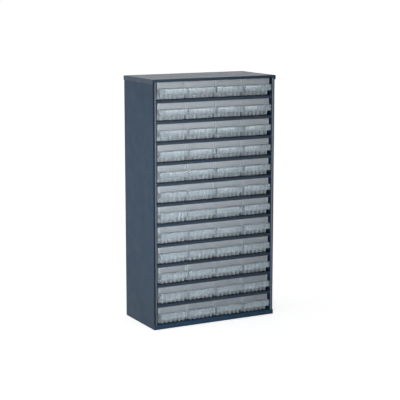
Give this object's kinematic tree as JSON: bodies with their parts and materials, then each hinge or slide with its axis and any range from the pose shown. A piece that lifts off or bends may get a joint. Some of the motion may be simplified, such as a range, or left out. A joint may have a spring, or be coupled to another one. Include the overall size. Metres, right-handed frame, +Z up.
{
  "type": "parts bin cabinet",
  "caption": "Upright painted steel case with rows of clear plastic drawers, each with a label band and a ribbed grip, for sorting small parts.",
  "frame": {"origin": "bottom centre of the whole cabinet, drawer grips included, at the level it stands on", "axes": "+Z up; the drawer fronts face -Y; +X to the right of someone facing them"},
  "size_m": [0.306, 0.155, 0.552],
  "materials": {
    "painted_steel": "dark slate blue powder coat, satin",
    "clear_plastic": "clear moulded plastic, slightly milky"
  },
  "bodies": {
    "cabinet": {"side_panel_left": "painted_steel", "side_panel_right": "painted_steel", "top_cap": "painted_steel", "base_pan": "painted_steel", "back_panel": "painted_steel", "front_upright_left": "painted_steel", "front_upright_right": "painted_steel", "shelves": "painted_steel", "guide_ridges": "painted_steel"},
    "drawer_row01_col1": {"drawer_row01_col1": "clear_plastic"},
    "drawer_row01_col2": {"drawer_row01_col2": "clear_plastic"},
    "drawer_row01_col3": {"drawer_row01_col3": "clear_plastic"},
    "drawer_row01_col4": {"drawer_row01_col4": "clear_plastic"},
    "drawer_row02_col1": {"drawer_row02_col1": "clear_plastic"},
    "drawer_row02_col2": {"drawer_row02_col2": "clear_plastic"},
    "drawer_row02_col3": {"drawer_row02_col3": "clear_plastic"},
    "drawer_row02_col4": {"drawer_row02_col4": "clear_plastic"},
    "drawer_row03_col1": {"drawer_row03_col1": "clear_plastic"},
    "drawer_row03_col2": {"drawer_row03_col2": "clear_plastic"},
    "drawer_row03_col3": {"drawer_row03_col3": "clear_plastic"},
    "drawer_row03_col4": {"drawer_row03_col4": "clear_plastic"},
    "drawer_row04_col1": {"drawer_row04_col1": "clear_plastic"},
    "drawer_row04_col2": {"drawer_row04_col2": "clear_plastic"},
    "drawer_row04_col3": {"drawer_row04_col3": "clear_plastic"},
    "drawer_row04_col4": {"drawer_row04_col4": "clear_plastic"},
    "drawer_row05_col1": {"drawer_row05_col1": "clear_plastic"},
    "drawer_row05_col2": {"drawer_row05_col2": "clear_plastic"},
    "drawer_row05_col3": {"drawer_row05_col3": "clear_plastic"},
    "drawer_row05_col4": {"drawer_row05_col4": "clear_plastic"},
    "drawer_row06_col1": {"drawer_row06_col1": "clear_plastic"},
    "drawer_row06_col2": {"drawer_row06_col2": "clear_plastic"},
    "drawer_row06_col3": {"drawer_row06_col3": "clear_plastic"},
    "drawer_row06_col4": {"drawer_row06_col4": "clear_plastic"},
    "drawer_row07_col1": {"drawer_row07_col1": "clear_plastic"},
    "drawer_row07_col2": {"drawer_row07_col2": "clear_plastic"},
    "drawer_row07_col3": {"drawer_row07_col3": "clear_plastic"},
    "drawer_row07_col4": {"drawer_row07_col4": "clear_plastic"},
    "drawer_row08_col1": {"drawer_row08_col1": "clear_plastic"},
    "drawer_row08_col2": {"drawer_row08_col2": "clear_plastic"},
    "drawer_row08_col3": {"drawer_row08_col3": "clear_plastic"},
    "drawer_row08_col4": {"drawer_row08_col4": "clear_plastic"},
    "drawer_row09_col1": {"drawer_row09_col1": "clear_plastic"},
    "drawer_row09_col2": {"drawer_row09_col2": "clear_plastic"},
    "drawer_row09_col3": {"drawer_row09_col3": "clear_plastic"},
    "drawer_row09_col4": {"drawer_row09_col4": "clear_plastic"},
    "drawer_row10_col1": {"drawer_row10_col1": "clear_plastic"},
    "drawer_row10_col2": {"drawer_row10_col2": "clear_plastic"},
    "drawer_row10_col3": {"drawer_row10_col3": "clear_plastic"},
    "drawer_row10_col4": {"drawer_row10_col4": "clear_plastic"},
    "drawer_row11_col1": {"drawer_row11_col1": "clear_plastic"},
    "drawer_row11_col2": {"drawer_row11_col2": "clear_plastic"},
    "drawer_row11_col3": {"drawer_row11_col3": "clear_plastic"},
    "drawer_row11_col4": {"drawer_row11_col4": "clear_plastic"},
    "drawer_row12_col1": {"drawer_row12_col1": "clear_plastic"},
    "drawer_row12_col2": {"drawer_row12_col2": "clear_plastic"},
    "drawer_row12_col3": {"drawer_row12_col3": "clear_plastic"},
    "drawer_row12_col4": {"drawer_row12_col4": "clear_plastic"}
  },
  "joints": [
    {"name": "slide_row01_col1", "type": "slide", "parent": "cabinet", "child": "drawer_row01_col1", "axis": [0, -1, 0], "range_m": [0, 0.124]},
    {"name": "slide_row01_col2", "type": "slide", "parent": "cabinet", "child": "drawer_row01_col2", "axis": [0, -1, 0], "range_m": [0, 0.124]},
    {"name": "slide_row01_col3", "type": "slide", "parent": "cabinet", "child": "drawer_row01_col3", "axis": [0, -1, 0], "range_m": [0, 0.124]},
    {"name": "slide_row01_col4", "type": "slide", "parent": "cabinet", "child": "drawer_row01_col4", "axis": [0, -1, 0], "range_m": [0, 0.124]},
    {"name": "slide_row02_col1", "type": "slide", "parent": "cabinet", "child": "drawer_row02_col1", "axis": [0, -1, 0], "range_m": [0, 0.124]},
    {"name": "slide_row02_col2", "type": "slide", "parent": "cabinet", "child": "drawer_row02_col2", "axis": [0, -1, 0], "range_m": [0, 0.124]},
    {"name": "slide_row02_col3", "type": "slide", "parent": "cabinet", "child": "drawer_row02_col3", "axis": [0, -1, 0], "range_m": [0, 0.124]},
    {"name": "slide_row02_col4", "type": "slide", "parent": "cabinet", "child": "drawer_row02_col4", "axis": [0, -1, 0], "range_m": [0, 0.124]},
    {"name": "slide_row03_col1", "type": "slide", "parent": "cabinet", "child": "drawer_row03_col1", "axis": [0, -1, 0], "range_m": [0, 0.124]},
    {"name": "slide_row03_col2", "type": "slide", "parent": "cabinet", "child": "drawer_row03_col2", "axis": [0, -1, 0], "range_m": [0, 0.124]},
    {"name": "slide_row03_col3", "type": "slide", "parent": "cabinet", "child": "drawer_row03_col3", "axis": [0, -1, 0], "range_m": [0, 0.124]},
    {"name": "slide_row03_col4", "type": "slide", "parent": "cabinet", "child": "drawer_row03_col4", "axis": [0, -1, 0], "range_m": [0, 0.124]},
    {"name": "slide_row04_col1", "type": "slide", "parent": "cabinet", "child": "drawer_row04_col1", "axis": [0, -1, 0], "range_m": [0, 0.124]},
    {"name": "slide_row04_col2", "type": "slide", "parent": "cabinet", "child": "drawer_row04_col2", "axis": [0, -1, 0], "range_m": [0, 0.124]},
    {"name": "slide_row04_col3", "type": "slide", "parent": "cabinet", "child": "drawer_row04_col3", "axis": [0, -1, 0], "range_m": [0, 0.124]},
    {"name": "slide_row04_col4", "type": "slide", "parent": "cabinet", "child": "drawer_row04_col4", "axis": [0, -1, 0], "range_m": [0, 0.124]},
    {"name": "slide_row05_col1", "type": "slide", "parent": "cabinet", "child": "drawer_row05_col1", "axis": [0, -1, 0], "range_m": [0, 0.124]},
    {"name": "slide_row05_col2", "type": "slide", "parent": "cabinet", "child": "drawer_row05_col2", "axis": [0, -1, 0], "range_m": [0, 0.124]},
    {"name": "slide_row05_col3", "type": "slide", "parent": "cabinet", "child": "drawer_row05_col3", "axis": [0, -1, 0], "range_m": [0, 0.124]},
    {"name": "slide_row05_col4", "type": "slide", "parent": "cabinet", "child": "drawer_row05_col4", "axis": [0, -1, 0], "range_m": [0, 0.124]},
    {"name": "slide_row06_col1", "type": "slide", "parent": "cabinet", "child": "drawer_row06_col1", "axis": [0, -1, 0], "range_m": [0, 0.124]},
    {"name": "slide_row06_col2", "type": "slide", "parent": "cabinet", "child": "drawer_row06_col2", "axis": [0, -1, 0], "range_m": [0, 0.124]},
    {"name": "slide_row06_col3", "type": "slide", "parent": "cabinet", "child": "drawer_row06_col3", "axis": [0, -1, 0], "range_m": [0, 0.124]},
    {"name": "slide_row06_col4", "type": "slide", "parent": "cabinet", "child": "drawer_row06_col4", "axis": [0, -1, 0], "range_m": [0, 0.124]},
    {"name": "slide_row07_col1", "type": "slide", "parent": "cabinet", "child": "drawer_row07_col1", "axis": [0, -1, 0], "range_m": [0, 0.124]},
    {"name": "slide_row07_col2", "type": "slide", "parent": "cabinet", "child": "drawer_row07_col2", "axis": [0, -1, 0], "range_m": [0, 0.124]},
    {"name": "slide_row07_col3", "type": "slide", "parent": "cabinet", "child": "drawer_row07_col3", "axis": [0, -1, 0], "range_m": [0, 0.124]},
    {"name": "slide_row07_col4", "type": "slide", "parent": "cabinet", "child": "drawer_row07_col4", "axis": [0, -1, 0], "range_m": [0, 0.124]},
    {"name": "slide_row08_col1", "type": "slide", "parent": "cabinet", "child": "drawer_row08_col1", "axis": [0, -1, 0], "range_m": [0, 0.124]},
    {"name": "slide_row08_col2", "type": "slide", "parent": "cabinet", "child": "drawer_row08_col2", "axis": [0, -1, 0], "range_m": [0, 0.124]},
    {"name": "slide_row08_col3", "type": "slide", "parent": "cabinet", "child": "drawer_row08_col3", "axis": [0, -1, 0], "range_m": [0, 0.124]},
    {"name": "slide_row08_col4", "type": "slide", "parent": "cabinet", "child": "drawer_row08_col4", "axis": [0, -1, 0], "range_m": [0, 0.124]},
    {"name": "slide_row09_col1", "type": "slide", "parent": "cabinet", "child": "drawer_row09_col1", "axis": [0, -1, 0], "range_m": [0, 0.124]},
    {"name": "slide_row09_col2", "type": "slide", "parent": "cabinet", "child": "drawer_row09_col2", "axis": [0, -1, 0], "range_m": [0, 0.124]},
    {"name": "slide_row09_col3", "type": "slide", "parent": "cabinet", "child": "drawer_row09_col3", "axis": [0, -1, 0], "range_m": [0, 0.124]},
    {"name": "slide_row09_col4", "type": "slide", "parent": "cabinet", "child": "drawer_row09_col4", "axis": [0, -1, 0], "range_m": [0, 0.124]},
    {"name": "slide_row10_col1", "type": "slide", "parent": "cabinet", "child": "drawer_row10_col1", "axis": [0, -1, 0], "range_m": [0, 0.124]},
    {"name": "slide_row10_col2", "type": "slide", "parent": "cabinet", "child": "drawer_row10_col2", "axis": [0, -1, 0], "range_m": [0, 0.124]},
    {"name": "slide_row10_col3", "type": "slide", "parent": "cabinet", "child": "drawer_row10_col3", "axis": [0, -1, 0], "range_m": [0, 0.124]},
    {"name": "slide_row10_col4", "type": "slide", "parent": "cabinet", "child": "drawer_row10_col4", "axis": [0, -1, 0], "range_m": [0, 0.124]},
    {"name": "slide_row11_col1", "type": "slide", "parent": "cabinet", "child": "drawer_row11_col1", "axis": [0, -1, 0], "range_m": [0, 0.124]},
    {"name": "slide_row11_col2", "type": "slide", "parent": "cabinet", "child": "drawer_row11_col2", "axis": [0, -1, 0], "range_m": [0, 0.124]},
    {"name": "slide_row11_col3", "type": "slide", "parent": "cabinet", "child": "drawer_row11_col3", "axis": [0, -1, 0], "range_m": [0, 0.124]},
    {"name": "slide_row11_col4", "type": "slide", "parent": "cabinet", "child": "drawer_row11_col4", "axis": [0, -1, 0], "range_m": [0, 0.124]},
    {"name": "slide_row12_col1", "type": "slide", "parent": "cabinet", "child": "drawer_row12_col1", "axis": [0, -1, 0], "range_m": [0, 0.124]},
    {"name": "slide_row12_col2", "type": "slide", "parent": "cabinet", "child": "drawer_row12_col2", "axis": [0, -1, 0], "range_m": [0, 0.124]},
    {"name": "slide_row12_col3", "type": "slide", "parent": "cabinet", "child": "drawer_row12_col3", "axis": [0, -1, 0], "range_m": [0, 0.124]},
    {"name": "slide_row12_col4", "type": "slide", "parent": "cabinet", "child": "drawer_row12_col4", "axis": [0, -1, 0], "range_m": [0, 0.124]}
  ]
}
